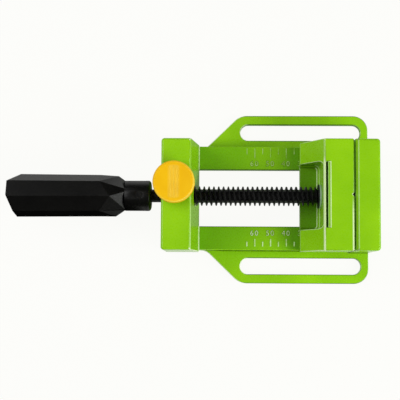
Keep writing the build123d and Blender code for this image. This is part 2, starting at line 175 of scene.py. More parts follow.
# The sky lights the vise evenly, is almost absent from its gloss, and is seen as white.
world = bpy.data.worlds.new("sky")
world.use_nodes = True
bpy.context.scene.world = world
sky = world.node_tree
sky.nodes.clear()
sky_path = sky.nodes.new("ShaderNodeLightPath")
sky_light = coloured_shader(sky, "ShaderNodeBackground", SKY_WHITE)
gloss_loss = math_node(sky, "MULTIPLY", sky_path.outputs["Is Glossy Ray"], SKY_IN_GLOSS - SKY_LIGHT)
sky.links.new(math_node(sky, "ADD", gloss_loss, SKY_LIGHT), sky_light.inputs["Strength"])
sky_white = coloured_shader(sky, "ShaderNodeBackground", WHITE)
sky_mix = mix_shaders(sky, seen_share(sky, sky_path), sky_light.outputs[0], sky_white.outputs[0])
sky_out = sky.nodes.new("ShaderNodeOutputWorld")
sky.links.new(sky_mix, sky_out.inputs["Surface"])

# Polished faces mirror a glowing white table with painted shade: dim under the vise and dark on the
# near side of the handle. The camera sees it as white, with a faint part of the real shadow.
floor_mesh = bpy.data.meshes.new("floor")
floor_corners = [(x * FLOOR_HALF, y * FLOOR_HALF, FLOOR_Z) for x, y in ((-1, -1), (1, -1), (1, 1), (-1, 1))]
floor_mesh.from_pydata(floor_corners, [], [(0, 1, 2, 3)])
floor_paint = bpy.data.materials.new("white_table")
floor_paint.use_nodes = True
tree = floor_paint.node_tree
tree.nodes.clear()
path = tree.nodes.new("ShaderNodeLightPath")
place = tree.nodes.new("ShaderNodeTexCoord")
floor_x, floor_y, _ = split_axes(tree, place.outputs["Object"])
lit_vise = remap(tree, floor_x, *FLOOR_LIT_X, 0.0, 1.0)
lit_handle = remap(tree, floor_y, *FLOOR_LIT_Y, 0.0, HANDLE_SIDE_LIGHT)
lit = math_node(tree, "MAXIMUM", lit_vise, lit_handle)
in_front = remap(tree, floor_y, *UNDER_FRONT_Y, UNDER_VISE_LIGHT, 1.0)
behind = remap(tree, floor_y, *UNDER_BACK_Y, UNDER_VISE_LIGHT, 1.0)
beside = remap(tree, floor_y, *UNDER_HANDLE_Y, UNDER_VISE_LIGHT, 1.0)
handle_end = remap(tree, floor_x, *HANDLE_SIDE_X, 1.0, 0.0)
beside_handle = math_node(tree, "MULTIPLY", beside, handle_end)
clear = math_node(tree, "MAXIMUM", math_node(tree, "MAXIMUM", in_front, behind), beside_handle)
mirrored = coloured_shader(tree, "ShaderNodeEmission", WHITE)
tree.links.new(math_node(tree, "MULTIPLY", lit, clear), mirrored.inputs["Strength"])
diffuse = coloured_shader(tree, "ShaderNodeBsdfDiffuse", FLOOR_GREY)
glow = coloured_shader(tree, "ShaderNodeEmission", WHITE)
white_share = math_node(tree, "MULTIPLY", seen_share(tree, path), FLOOR_WHITE_SHARE)
table = mix_shaders(tree, white_share, diffuse.outputs[0], glow.outputs[0])
table = mix_shaders(tree, path.outputs["Is Glossy Ray"], table, mirrored.outputs[0])
out = tree.nodes.new("ShaderNodeOutputMaterial")
tree.links.new(table, out.inputs["Surface"])
floor_mesh.materials.append(floor_paint)
floor = bpy.data.objects.new("floor", floor_mesh)
bpy.context.collection.objects.link(floor)


# Base casting
# One piece of die-cast aluminium with its flanges, rails, screw block and fixed jaw, cored
# from below, tumbled so that no edge is sharp, and sprayed with yellow-green enamel.

CAST_EDGE = 0.00045
WELD_DISTANCE = 1e-6
SHARP_DEG = 28
NOISE_DETAIL = {"Cloud": 3.0, "Grain": 2.0}
GRAIN_SPAN = (0.3, 0.7)
ENAMEL = (0.315, 0.685, 0.002)
ENAMEL_DEEP = (0.262, 0.605, 0.001)
ENAMEL_CLOUD = (0.35, 0.65)
ENAMEL_SPECULAR = 0.40
ENAMEL_ROUGHNESS = (0.24, 0.34)
ENAMEL_BUMP = (0.10, 0.0002)
ENAMEL_COAT = 0.10
ENAMEL_COAT_ROUGHNESS = 0.18
# Painted shade on the tops of the rails, lighter in the middle, with a darker painted shadow next to
# the moving jaw. Each pair is where a mask is nought and where it is one.
RAIL_UNDER_Z = (0.0135, 0.0120)
RAIL_OVER_Z = (0.0085, 0.0115)
RAIL_WITHIN_Y = (0.0342, 0.0334)
FACING_UP = (0.85, 0.97)
RAIL_PAINTED_SHADE_GREEN = (0.145, 0.455, 0.0004)
SHADE_LIGHTER_FROM_X = (-0.0400, -0.0260)
SHADE_LIGHTER_TO_X = (-0.0090, -0.0170)
LIGHTER_MIDDLE_SHADE_SHARE = 0.35
JAW_PAINTED_SHADOW = (0.080, 0.280, 0.0003)
JAW_PAINTED_SHADOW_X = (-0.0105, -0.0055)
JAW_PAINTED_SHADOW_SHARE = 0.85
# Painted shade for the moving jaw's pocket.
POCKET_PAINTED_SHADE = (0.120, 0.330, 0.0006)
POCKET_PAINTED_SHADE_SHARE = 0.85
# Painted highlight on rounded edges that cross the screw, and painted shade on those along it, over the
# lean of their normals.
EDGE_LEAN = (0.02, 0.16)
PAINTED_HIGHLIGHT_GREEN = (0.80, 0.97, 0.52)
PAINTED_HIGHLIGHT_SHARE = 0.90
PAINTED_SHADE_GREEN = (0.055, 0.150, 0.001)
PAINTED_SHADE_SHARE = 0.90
RIDGE_Z = (0.0440, 0.0448)
RIDGE_FADE = 0.0003
# The base's painted highlights. Kept: two places along X, and how much of the edges' painted highlight is
# kept at each.
# Ridges: the place along X, half the width, then two places along Y, and the strength at each.
BASE_PAINTED_HIGHLIGHTS = {
    "kept_x": (0.0300, 0.0304, 1.0, 0.3),
    "ridges": ((-0.0691, 0.0002, 0.0050, -0.0100, 0.15, 0.6),),
}


def grain_group():
    """Two noises on the piece's own place: broad cloudiness, and fine grain."""
    group = bpy.data.node_groups.new("surface_grain", "ShaderNodeTree")
    face = group.interface
    for name, value in (("Cloud scale", 40.0), ("Grain scale", 900.0), ("Stretch X", 1.0)):
        face.new_socket(name, in_out="INPUT", socket_type="NodeSocketFloat").default_value = value
    for name in NOISE_DETAIL:
        face.new_socket(name, in_out="OUTPUT", socket_type="NodeSocketFloat")
    enter = group.nodes.new("NodeGroupInput")
    leave = group.nodes.new("NodeGroupOutput")
    place = group.nodes.new("ShaderNodeTexCoord")
    stretch = group.nodes.new("ShaderNodeCombineXYZ")
    stretch.inputs[1].default_value = 1.0
    stretch.inputs[2].default_value = 1.0
    scaled = group.nodes.new("ShaderNodeVectorMath")
    scaled.operation = "MULTIPLY"
    group.links.new(enter.outputs["Stretch X"], stretch.inputs[0])
    group.links.new(place.outputs["Object"], scaled.inputs[0])
    group.links.new(stretch.outputs[0], scaled.inputs[1])
    for name, detail in NOISE_DETAIL.items():
        noise = group.nodes.new("ShaderNodeTexNoise")
        noise.inputs["Detail"].default_value = detail
        group.links.new(scaled.outputs[0], noise.inputs["Vector"])
        group.links.new(enter.outputs[f"{name} scale"], noise.inputs["Scale"])
        group.links.new(noise.outputs["Fac"], leave.inputs[name])
    return group


def place_group(tree, group, **values):
    """A group node with its own values."""
    node = tree.nodes.new("ShaderNodeGroup")
    node.node_tree = group
    for name, value in values.items():
        node.inputs[name.replace("_", " ")].default_value = value
    return node


def new_finish(name, grain, metallic, specular, **scales):
    """A new material with its tree, its Principled shader and its grain."""
    material = bpy.data.materials.new(name)
    material.use_nodes = True
    tree = material.node_tree
    shader = tree.nodes["Principled BSDF"]
    shader.inputs["Metallic"].default_value = metallic
    shader.inputs["Specular IOR Level"].default_value = specular
    return material, tree, shader, place_group(tree, grain, **scales)


def blend_colours(tree, factor, low, high):
    """A colour between two, by a factor from nought to one. A colour Mix node has its two colours
    in sockets 6 and 7, and puts out their blend at 2."""
    mix = tree.nodes.new("ShaderNodeMix")
    mix.data_type = "RGBA"
    for socket, value in ((mix.inputs[6], low), (mix.inputs[7], high)):
        if isinstance(value, tuple):
            socket.default_value = (*value, 1.0)
        else:
            tree.links.new(value, socket)
    tree.links.new(factor, mix.inputs[0])
    return mix.outputs[2]


def mask(tree, value, nought_at, one_at):
    """Nought to one as a value goes from one place to another."""
    return remap(tree, value, nought_at, one_at, 0.0, 1.0)


def product(tree, first, *others):
    """Several masks multiplied."""
    for other in others:
        first = math_node(tree, "MULTIPLY", first, other)
    return first


def clouded(tree, marks, span, low, high):
    """A colour that drifts from one to another over a span of the cloudiness."""
    return blend_colours(tree, mask(tree, marks.outputs["Cloud"], *span), low, high)


def grained(tree, shader, marks, roughness, bump):
    """Roughness between two values over the grain, and a bump with its strength and distance."""
    rough = remap(tree, marks.outputs["Grain"], *GRAIN_SPAN, *roughness)
    tree.links.new(rough, shader.inputs["Roughness"])
    relief = tree.nodes.new("ShaderNodeBump")
    strength, distance = bump
    relief.inputs["Strength"].default_value = strength
    relief.inputs["Distance"].default_value = distance
    tree.links.new(marks.outputs["Grain"], relief.inputs["Height"])
    tree.links.new(relief.outputs["Normal"], shader.inputs["Normal"])


def green_enamel(name, grain, rounded, kept_x, ridges, pocket=None, lip_x=None):
    """Sprayed enamel under a clear gloss: slow changes of depth and orange peel, and painted shade
    on the tops of the rails, lighter in their middle and darker next to the moving jaw. Rounded edges
    have painted highlight where they cross the screw, and painted shade along it. High ridges across
    the screw have painted highlight too. A piece with a pocket has painted shade in it, and one with
    a lip has painted shadow at the lip."""
    material, tree, shader, marks = new_finish(
        name, grain, metallic=0.0, specular=ENAMEL_SPECULAR, Cloud_scale=38.0, Grain_scale=950.0)
    colour = clouded(tree, marks, ENAMEL_CLOUD, ENAMEL_DEEP, ENAMEL)
    place = tree.nodes.new("ShaderNodeTexCoord")
    x, y, z = split_axes(tree, place.outputs["Object"])
    facing_x, facing_y, facing_z = split_axes(tree, place.outputs["Normal"])
    aside = math_node(tree, "ABSOLUTE", y)
    # Painted shade on the tops of the rails, lighter in their middle.
    rail_top = product(
        tree, mask(tree, z, *RAIL_UNDER_Z), mask(tree, aside, *RAIL_WITHIN_Y),
        mask(tree, z, *RAIL_OVER_Z), mask(tree, facing_z, *FACING_UP))
    lighter_middle = product(tree, mask(tree, x, *SHADE_LIGHTER_FROM_X), mask(tree, x, *SHADE_LIGHTER_TO_X))
    rail_painted_shade = product(tree, rail_top, remap(tree, lighter_middle, 0.0, 1.0, 1.0, LIGHTER_MIDDLE_SHADE_SHARE))
    colour = blend_colours(tree, rail_painted_shade, colour, RAIL_PAINTED_SHADE_GREEN)
    # Painted shadow on the rails next to the closed moving jaw.
    at_jaw = remap(tree, x, *JAW_PAINTED_SHADOW_X, 0.0, JAW_PAINTED_SHADOW_SHARE)
    colour = blend_colours(tree, product(tree, rail_top, at_jaw), colour, JAW_PAINTED_SHADOW)
    # Painted shade in the pocket, behind its front wall.
    if pocket:
        behind_x, within_y = pocket
        behind = remap(tree, x, *behind_x, 0.0, POCKET_PAINTED_SHADE_SHARE)
        pocket_shade = product(tree, behind, mask(tree, aside, *within_y))
        colour = blend_colours(tree, pocket_shade, colour, POCKET_PAINTED_SHADE)
    if rounded:
        # Painted shade on rounded edges that run along the screw.
        along = remap(tree, math_node(tree, "ABSOLUTE", facing_y), *EDGE_LEAN, 0.0, PAINTED_SHADE_SHARE)
        colour = blend_colours(tree, along, colour, PAINTED_SHADE_GREEN)
        # Painted highlight on rounded edges that cross the screw.
        across = remap(tree, math_node(tree, "ABSOLUTE", facing_x), *EDGE_LEAN, 0.0, PAINTED_HIGHLIGHT_SHARE)
        kept = product(tree, across, remap(tree, x, *kept_x))
        colour = blend_colours(tree, kept, colour, PAINTED_HIGHLIGHT_GREEN)
    high = mask(tree, z, *RIDGE_Z)
    # Painted shadow in the gap between the jaws, on the moving jaw's lip.
    if lip_x:
        lip = remap(tree, x, *lip_x, 0.0, PAINTED_SHADE_SHARE)
        colour = blend_colours(tree, product(tree, lip, high), colour, PAINTED_SHADE_GREEN)
    # Painted highlight along high ridges across the screw.
    for ridge_x, half, *fading_y in ridges:
        off_ridge = math_node(tree, "ABSOLUTE", math_node(tree, "SUBTRACT", x, ridge_x))
        ridge = mask(tree, off_ridge, half + RIDGE_FADE, half)
        painted_highlight = product(tree, ridge, remap(tree, y, *fading_y), high)
        colour = blend_colours(tree, painted_highlight, colour, PAINTED_HIGHLIGHT_GREEN)
    tree.links.new(colour, shader.inputs["Base Color"])
    grained(tree, shader, marks, ENAMEL_ROUGHNESS, ENAMEL_BUMP)
    shader.inputs["Coat Weight"].default_value = 0.0 if rounded else ENAMEL_COAT
    shader.inputs["Coat Roughness"].default_value = ENAMEL_COAT_ROUGHNESS
    return material


def finish_node(name, *materials):
    """Gives a CAD node its materials through its object's own slots: the faces, then the edges."""
    piece = nodes[name]
    while len(piece.material_slots) < len(materials):
        piece.data.materials.append(None)
    for slot, material in zip(piece.material_slots, materials):
        slot.link = "OBJECT"
        slot.material = material
    return piece


def round_edges(piece, width, segments=3, clamped=True):
    """Joins the node's loose triangles and rounds its sharp edges, with the second material."""
    weld = piece.modifiers.new("join", "WELD")
    weld.merge_threshold = WELD_DISTANCE
    bevel = piece.modifiers.new("round", "BEVEL")
    bevel.width = width
    bevel.segments = segments
    bevel.limit_method = "ANGLE"
    bevel.angle_limit = math.radians(SHARP_DEG)
    bevel.harden_normals = True
    bevel.use_clamp_overlap = clamped
    bevel.loop_slide = False
    if len(piece.material_slots) > 1:
        bevel.material = 1


surface_grain = grain_group()
enamel = green_enamel("green_enamel", surface_grain, rounded=False, **BASE_PAINTED_HIGHLIGHTS)
enamel_edges = green_enamel("green_enamel_edges", surface_grain, rounded=True, **BASE_PAINTED_HIGHLIGHTS)
round_edges(finish_node("base_casting", enamel, enamel_edges), CAST_EDGE, clamped=False)


# Scale on the rails
# Raised ticks each 5 mm and figures each 10 mm, cast with the base and painted over. They
# count the opening from the fixed jaw and read from the side of the lower rail. The lower rail's
# marks have painted highlight, and thin dark feet round the figures are painted shadow.

SCALE_ZERO_X = 0.0306
RAIL_TOP_Z = 0.0126
MARK_HEIGHT = 0.0003
MARK_DRAW = 0.00015
MARK_SINK = 0.0002
# Ticks: width, outer end, and the inner ends of the long and the short ones.
LOWER_TICKS = (0.00095, -0.0307, -0.0258, -0.0275)
UPPER_TICKS = (0.00060, 0.0320, 0.0255, 0.0280)
TICK_EACH_MM = 5
FIGURE_EACH_MM = 10
LAST_TICK_MM = 65
LAST_FIGURE_MM = 60
LOWER_FIGURES_Y = -0.02235
UPPER_FIGURES_Y = 0.02195
FIGURE_SIZE = 0.0047
FIGURE_SPACING = 1.25
FIGURE_SHIFT_X = 0.0004
FIGURE_CURVE_STEPS = 3
# Feet: thin dark plinths round the figures, which carry painted shadow.
FOOT_HEIGHT = 0.00006
FOOT_SPREAD = 0.00022
BOX_FACES = np.array([(0, 3, 2, 1), (4, 5, 6, 7), (0, 1, 5, 4), (1, 2, 6, 5), (2, 3, 7, 6), (3, 0, 4, 7)])
MARK_PATCH_CLOUD = (0.35, 0.60)
MARK_ROUGHNESS = (0.20, 0.34)
PAINTED_HIGHLIGHT_MARK = ((0.48, 0.76, 0.20), (0.70, 0.92, 0.48))
GREEN_MARK = ((0.36, 0.68, 0.06), (0.55, 0.82, 0.25))
PAINTED_SHADE_MARK_FOOT = ((0.060, 0.175, 0.001), (0.110, 0.290, 0.002))


def mesh_piece(name, points, faces, material, smooth=True):
    """An object at the origin from corner points and faces."""
    mesh = bpy.data.meshes.new(name)
    mesh.from_pydata([tuple(p) for p in points], [], [tuple(f) for f in faces])
    mesh.materials.append(material)
    mesh.polygons.foreach_set("use_smooth", [smooth] * len(mesh.polygons))
    mesh.update()
    piece = bpy.data.objects.new(name, mesh)
    bpy.context.collection.objects.link(piece)
    return piece


def rubbed_enamel(name, grain, face, wear_and_painted_light):
    """Enamel on raised marks, in patches between two given colours: painted highlight on the lower rail's
    marks, painted shade on the figures' feet, and paler green in patches on the upper rail's marks.
    """
    material, tree, shader, marks = new_finish(
        name, grain, metallic=0.0, specular=ENAMEL_SPECULAR, Cloud_scale=420.0, Grain_scale=950.0)
    tree.links.new(clouded(tree, marks, MARK_PATCH_CLOUD, face, wear_and_painted_light), shader.inputs["Base Color"])
    grained(tree, shader, marks, MARK_ROUGHNESS, ENAMEL_BUMP)
    return material


def tick_bars(opening_mm, rail):
    """One bar per opening: a box whose top is drawn in a little on all sides."""
    width, outer_y, long_y, short_y = rail
    x = SCALE_ZERO_X - opening_mm / 1000
    inner_y = np.where(opening_mm % FIGURE_EACH_MM == 0, long_y, short_y)
    low_y = np.minimum(outer_y, inner_y)
    high_y = np.maximum(outer_y, inner_y)
    corners = []
    for level, inset in ((RAIL_TOP_Z - MARK_SINK, 0.0), (RAIL_TOP_Z + MARK_HEIGHT, MARK_DRAW)):
        half = width / 2 - inset
        near = low_y + inset
        far = high_y - inset
        for aside, y in ((-half, near), (half, near), (half, far), (-half, far)):
            corners.append(np.stack([x + aside, y, np.full_like(x, level)], axis=1))
    points = np.stack(corners, axis=1).reshape(-1, 3)
    faces = (np.arange(len(x))[:, None, None] * len(corners) + BOX_FACES).reshape(-1, 4)
    return points, faces


def figures(name, opening_mm, y, height, spread, material):
    """The figures of one rail, set as type, thickened by an offset and raised by extrusion."""
    parts = []
    for value in opening_mm:
        text = bpy.data.curves.new(f"figure_{value}", "FONT")
        text.body = str(value)
        text.size = FIGURE_SIZE
        text.align_x = "CENTER"
        text.align_y = "CENTER"
        text.space_character = FIGURE_SPACING
        text.offset = spread
        text.extrude = (height + MARK_SINK) / 2
        text.resolution_u = FIGURE_CURVE_STEPS
        typed = bpy.data.objects.new(f"figure_{value}", text)
        bpy.context.collection.objects.link(typed)
        bpy.context.view_layer.update()
        mesh = bpy.data.meshes.new_from_object(typed)
        place = (SCALE_ZERO_X - FIGURE_SHIFT_X - value / 1000, y, RAIL_TOP_Z + (height - MARK_SINK) / 2)
        mesh.transform(Matrix.Translation(place))
        points = np.empty(len(mesh.vertices) * 3)
        mesh.vertices.foreach_get("co", points)
        parts.append((points.reshape(-1, 3), [tuple(p.vertices) for p in mesh.polygons]))
        bpy.data.objects.remove(typed)
        bpy.data.meshes.remove(mesh)
    points = np.concatenate([p for p, _ in parts])
    starts = np.cumsum([0] + [len(p) for p, _ in parts[:-1]])
    faces = [tuple(int(i + start) for i in face) for (_, fs), start in zip(parts, starts) for face in fs]
    return mesh_piece(name, points, faces, material, smooth=False)


# Painted highlight on the lower rail's marks, and painted shade on the figures' feet.
painted_highlight_marks = rubbed_enamel("painted_highlight_marks", surface_grain, *PAINTED_HIGHLIGHT_MARK)
green_marks = rubbed_enamel("green_marks", surface_grain, *GREEN_MARK)
painted_shade_mark_feet = rubbed_enamel("painted_shade_mark_feet", surface_grain, *PAINTED_SHADE_MARK_FOOT)
tick_openings = np.arange(TICK_EACH_MM, LAST_TICK_MM + 1, TICK_EACH_MM)
figure_openings = range(FIGURE_EACH_MM, LAST_FIGURE_MM + 1, FIGURE_EACH_MM)
for side, rail, figures_y, finish in (
    ("front", LOWER_TICKS, LOWER_FIGURES_Y, painted_highlight_marks),
    ("back", UPPER_TICKS, UPPER_FIGURES_Y, green_marks),
):
    for piece in (
        mesh_piece(f"scale_ticks_{side}", *tick_bars(tick_openings, rail), finish, smooth=False),
        figures(f"scale_figures_{side}", figure_openings, figures_y, MARK_HEIGHT, 0.0, finish),
        figures(f"scale_figure_feet_{side}", figure_openings, figures_y, FOOT_HEIGHT, FOOT_SPREAD,
                painted_shade_mark_feet),
    ):
        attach(piece, "base")


# Moving jaw
# The same casting and enamel as the base. It slides on the rails, takes the screw's end in
# its pocket, and has an upright and a level groove in its face for round work.

JAW_EDGE = 0.00032
# The jaw's painted highlight and shade, as for the base. Pocket: where the painted shade ends along X and
# aside along Y.
JAW_PAINTED_LIGHT = {
    "kept_x": (0.0000, 0.0010, 0.45, 1.0),
    "ridges": (
        (0.0118, 0.0004, 0.0235, 0.0200, 0.25, 1.0),
        (0.0290, 0.0003, -0.0010, -0.0110, 0.0, 0.9),
    ),
    "pocket": ((0.0110, 0.0102), (0.0208, 0.0200)),
    "lip_x": (0.0291, 0.0294),
}

jaw_enamel = green_enamel("jaw_enamel", surface_grain, rounded=False, **JAW_PAINTED_LIGHT)
jaw_edges = green_enamel("jaw_enamel_edges", surface_grain, rounded=True, **JAW_PAINTED_LIGHT)
round_edges(finish_node("moving_jaw", jaw_enamel, jaw_edges), JAW_EDGE, clamped=False)


# Screw spindle
# Blackened steel with a rolled 12 x 3 thread, right-hand, a plain shank inside the handle
# and a grooved journal that the retaining plate holds in the moving jaw.

SCREW_Z = 0.0277
THREAD_PITCH = 0.003
THREAD_CREST_R = 0.0060
THREAD_ROOT_R = 0.0042
THREAD_CREST = 0.00030
THREAD_FLANK = 0.00050
THREAD_X = (-0.0860, 0.0091)
THREAD_PHASE_X = -0.06135
THREAD_RUN_IN = 0.0014
THREAD_SPARE_TURNS = 3
AROUND = 72
SHANK_R = 0.0040
SHANK_END_X = -0.1420
JOURNAL_END_X = 0.0180
# The groove's two sides along X and the radius at its bottom.
JOURNAL_GROOVE = (0.0125, 0.0141, 0.0028)
STEEL_CHAMFER = 0.0004
CLOSE_DISTANCE = 1e-7
OXIDE = ((0.010, 0.010, 0.010), (0.026, 0.026, 0.025))
OXIDE_CLOUD = (0.35, 0.65)
OXIDE_ROUGHNESS = (0.24, 0.40)
OXIDE_BUMP = (0.15, 0.0001)
# Wear along edges: the lean of the rounded normal that it starts and ends at, as a cosine,
# and then the range of the edge mask with the wear at each end.
WORN_RADIUS = 0.00035
WORN_SAMPLES = 8
WORN_COSINE = (0.998, 0.86)
WORN_RANGE = (0.2, 1.0, 0.0, 0.35)
WORN_STEEL = (0.12, 0.12, 0.12)


def ring_points(x, radius, turn):
    """Points round the screw's axis: along it x, and radius times cosine in Y and sine in Z."""
    return np.stack([x, radius * np.cos(turn), SCREW_Z + radius * np.sin(turn)], axis=-1)


def closed_grid(count, around):
    """The quads of a grid of rows and columns whose last column joins its first."""
    rows, columns = np.meshgrid(np.arange(count - 1), np.arange(around), indexing="ij")
    following = (columns + 1) % around
    quads = np.stack([rows * around + columns, rows * around + following,
                      (rows + 1) * around + following, (rows + 1) * around + columns], axis=-1)
    return quads.reshape(-1, 4)


def turned_solid(profile):
    """A profile of (x, radius) pairs, carried once round the screw's axis."""
    x, radius = np.array(profile).T
    turn = np.arange(AROUND) * 2 * np.pi / AROUND
    points = ring_points(np.repeat(x[:, None], AROUND, 1), radius[:, None] * np.ones(AROUND), turn[None, :])
    return points.reshape(-1, 3), closed_grid(len(x), AROUND)


def thread_surface():
    """A trapezium carried along a helix: x = phase + pitch * (turns + angle / full turn) + offset,
    with x held between the thread's ends and the radius held under a short cone at each end."""
    low_x, high_x = THREAD_X
    foot = THREAD_CREST + THREAD_FLANK
    offsets = np.array([-foot, -THREAD_CREST, THREAD_CREST, foot])
    heights = np.array([THREAD_ROOT_R, THREAD_CREST_R, THREAD_CREST_R, THREAD_ROOT_R])
    first = math.floor((low_x - THREAD_PHASE_X) / THREAD_PITCH) - THREAD_SPARE_TURNS
    last = math.ceil((high_x - THREAD_PHASE_X) / THREAD_PITCH) + THREAD_SPARE_TURNS
    turns = np.arange(first, last + 1)
    base_x = (THREAD_PHASE_X + THREAD_PITCH * turns[:, None] + offsets[None, :]).ravel()
    base_r = np.tile(heights, len(turns))
    turn = np.arange(AROUND) * 2 * np.pi / AROUND
    x = np.clip(base_x[:, None] + THREAD_PITCH * turn[None, :] / (2 * np.pi), low_x, high_x)
    rise = np.minimum(x - low_x, high_x - x) / THREAD_RUN_IN
    cone = THREAD_ROOT_R + (THREAD_CREST_R - THREAD_ROOT_R) * np.clip(rise, 0, 1)
    points = ring_points(x, np.minimum(base_r[:, None], cone), turn[None, :])
    count = len(base_x)
    rows, columns = np.meshgrid(np.arange(count - 1), np.arange(AROUND), indexing="ij")
    following = (columns + 1) % AROUND
    shift = np.where(following == 0, len(offsets), 0)
    across = np.minimum(rows + shift, count - 1)
    across_after = np.minimum(rows + 1 + shift, count - 1)
    quads = np.stack([rows * AROUND + columns, across * AROUND + following,
                      across_after * AROUND + following, (rows + 1) * AROUND + columns], axis=-1)
    return points.reshape(-1, 3), quads.reshape(-1, 4)


def join_surfaces(*surfaces):
    """Several grids put one after another into one list of points and faces."""
    starts = np.cumsum([0] + [len(points) for points, _ in surfaces[:-1]])
    points = np.concatenate([points for points, _ in surfaces])
    faces = np.concatenate([faces + start for (_, faces), start in zip(surfaces, starts)])
    return points, faces


def close_mesh(piece, smooth_deg):
    """Closes seams and poles, turns faces outwards, and keeps edges crisp over an angle."""
    work = bmesh.new()
    work.from_mesh(piece.data)
    bmesh.ops.remove_doubles(work, verts=work.verts, dist=CLOSE_DISTANCE)
    bmesh.ops.dissolve_degenerate(work, edges=work.edges, dist=CLOSE_DISTANCE)
    bmesh.ops.recalc_face_normals(work, faces=work.faces)
    work.to_mesh(piece.data)
    work.free()
    piece.data.polygons.foreach_set("use_smooth", [True] * len(piece.data.polygons))
    piece.data.set_sharp_from_angle(angle=math.radians(smooth_deg))


def edge_group():
    """How far the rounded normal leans from the true one: nought on flat faces and one on edges."""
    group = bpy.data.node_groups.new("worn_edges", "ShaderNodeTree")
    group.interface.new_socket("Radius", in_out="INPUT", socket_type="NodeSocketFloat")
    group.interface.new_socket("Edge", in_out="OUTPUT", socket_type="NodeSocketFloat")
    enter = group.nodes.new("NodeGroupInput")
    leave = group.nodes.new("NodeGroupOutput")
    rounded = group.nodes.new("ShaderNodeBevel")
    rounded.samples = WORN_SAMPLES
    true = group.nodes.new("ShaderNodeNewGeometry")
    lean = group.nodes.new("ShaderNodeVectorMath")
    lean.operation = "DOT_PRODUCT"
    group.links.new(enter.outputs["Radius"], rounded.inputs["Radius"])
    group.links.new(rounded.outputs["Normal"], lean.inputs[0])
    group.links.new(true.outputs["Normal"], lean.inputs[1])
    group.links.new(mask(group, lean.outputs["Value"], *WORN_COSINE), leave.inputs["Edge"])
    return group


def black_steel(grain, edges):
    """Blackened steel: dull oxide with fine turning lines, rubbed bright along its edges."""
    material, tree, shader, marks = new_finish(
        "black_steel", grain, metallic=0.55, specular=0.4,
        Cloud_scale=160.0, Grain_scale=1400.0, Stretch_X=2.5)
    edge = place_group(tree, edges, Radius=WORN_RADIUS)
    colour = clouded(tree, marks, OXIDE_CLOUD, *OXIDE)
    wear_and_painted_light = remap(tree, edge.outputs["Edge"], *WORN_RANGE)
    tree.links.new(blend_colours(tree, wear_and_painted_light, colour, WORN_STEEL), shader.inputs["Base Color"])
    grained(tree, shader, marks, OXIDE_ROUGHNESS, OXIDE_BUMP)
    return material


oxide_steel = black_steel(surface_grain, edge_group())
groove_low, groove_high, groove_r = JOURNAL_GROOVE
shank = turned_solid([
    (SHANK_END_X, 0.0), (SHANK_END_X, SHANK_R - STEEL_CHAMFER), (SHANK_END_X + STEEL_CHAMFER, SHANK_R),
    (THREAD_X[0], SHANK_R), (THREAD_X[0], THREAD_ROOT_R),
])
journal = turned_solid([
    (THREAD_X[1], THREAD_ROOT_R), (THREAD_X[1], SHANK_R), (groove_low, SHANK_R), (groove_low, groove_r),
    (groove_high, groove_r), (groove_high, SHANK_R), (JOURNAL_END_X - STEEL_CHAMFER, SHANK_R),
    (JOURNAL_END_X, SHANK_R - STEEL_CHAMFER), (JOURNAL_END_X, 0.0),
])
spindle = mesh_piece("threaded_spindle", *join_surfaces(shank, thread_surface(), journal), oxide_steel)
close_mesh(spindle, smooth_deg=30)
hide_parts("spindle")
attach(spindle, "screw")


# Thrust washer and retaining plate
# A turned steel collar between the thread and the pocket's wall, with a pale painted reflection
# where it meets the wall, and the forked steel plate in the slit behind it, which straddles the journal's
# groove.

WASHER_EDGE = 0.0002
PLATE_EDGE = 0.0001
WASHER_BLACK = (0.018, 0.018, 0.018)
PAINTED_REFLECTION_STEEL = ((0.42, 0.55, 0.48), (0.72, 0.86, 0.76))
PAINTED_REFLECTION_X = (0.0098, 0.0101)


def ground_washer(grain):
    """Blackened steel whose end toward the jaw has a pale blue-grey painted reflection."""
    material, tree, shader, marks = new_finish(
        "washer_steel", grain, metallic=0.35, specular=0.4,
        Cloud_scale=300.0, Grain_scale=1400.0, Stretch_X=2.5)
    place = tree.nodes.new("ShaderNodeTexCoord")
    x, _, _ = split_axes(tree, place.outputs["Object"])
    # Painted reflection on the washer's end toward the jaw.
    pale = blend_colours(tree, marks.outputs["Cloud"], *PAINTED_REFLECTION_STEEL)
    colour = blend_colours(tree, mask(tree, x, *PAINTED_REFLECTION_X), WASHER_BLACK, pale)
    tree.links.new(colour, shader.inputs["Base Color"])
    grained(tree, shader, marks, OXIDE_ROUGHNESS, OXIDE_BUMP)
    return material


round_edges(finish_node("thrust_washer", ground_washer(surface_grain)), WASHER_EDGE)
round_edges(finish_node("retaining_plate", oxide_steel), PLATE_EDGE, segments=2)


# Handle
# Black plastic moulded over the spindle's shank: eight flats, a faceted run down to a round
# neck, and a steel cross pin through the neck.

HANDLE_EDGE = 0.0004
PIN_EDGE = 0.0003
NECK_SKIRT_X = -0.0976
NECK_ROUND_X = -0.0958
NECK_R = 0.00943
# The flat end: its place along X and the radius where the rounding meets it.
NECK_END = (-0.09415, 0.0070)
NECK_BORE_R = 0.00415
ROUND_STEPS = 9
MOULDED_BLACK = ((0.0012, 0.0011, 0.0008), (0.0030, 0.0028, 0.0022))
MOULDED_CLOUD = (0.3, 0.7)
HANDLE_ROUGHNESS = (0.32, 0.44)
HANDLE_BUMP = (0.25, 0.0001)


def moulded_black(grain):
    """Moulded black plastic with a fine matt grain."""
    material, tree, shader, marks = new_finish(
        "moulded_black", grain, metallic=0.0, specular=0.42, Cloud_scale=70.0, Grain_scale=1500.0)
    tree.links.new(clouded(tree, marks, MOULDED_CLOUD, *MOULDED_BLACK), shader.inputs["Base Color"])
    grained(tree, shader, marks, HANDLE_ROUGHNESS, HANDLE_BUMP)
    return material


